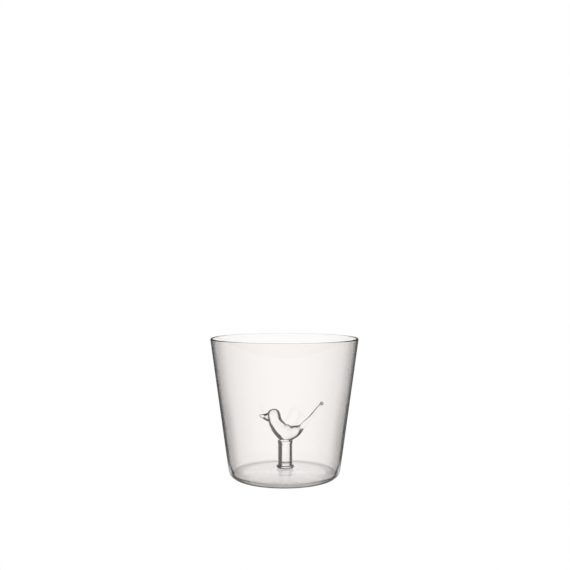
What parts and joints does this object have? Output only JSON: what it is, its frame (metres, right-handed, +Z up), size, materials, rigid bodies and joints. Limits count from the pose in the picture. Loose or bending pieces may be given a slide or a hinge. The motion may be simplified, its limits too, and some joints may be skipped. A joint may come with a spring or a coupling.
{
  "type": "glass tumbler with a glass bird",
  "caption": "Tapered clear glass tumbler with a small solid glass bird standing on a glass rod fused to the middle of its floor.",
  "frame": {"origin": "on the tumbler's axis, at the surface that it stands on", "axes": "+Z up along the tumbler's axis; the bird looks along -X and its tail rises towards +X"},
  "size_m": [0.09, 0.09, 0.085],
  "materials": {
    "tumbler_glass": "clear, fire-polished, very faintly warm grey",
    "bird_glass": "clear, solid, flame-polished"
  },
  "bodies": {
    "root": {"tumbler": "tumbler_glass", "foot_button": "bird_glass", "rod": "bird_glass", "bird_body": "bird_glass", "beak": "bird_glass", "tail": "bird_glass"}
  },
  "joints": []
}
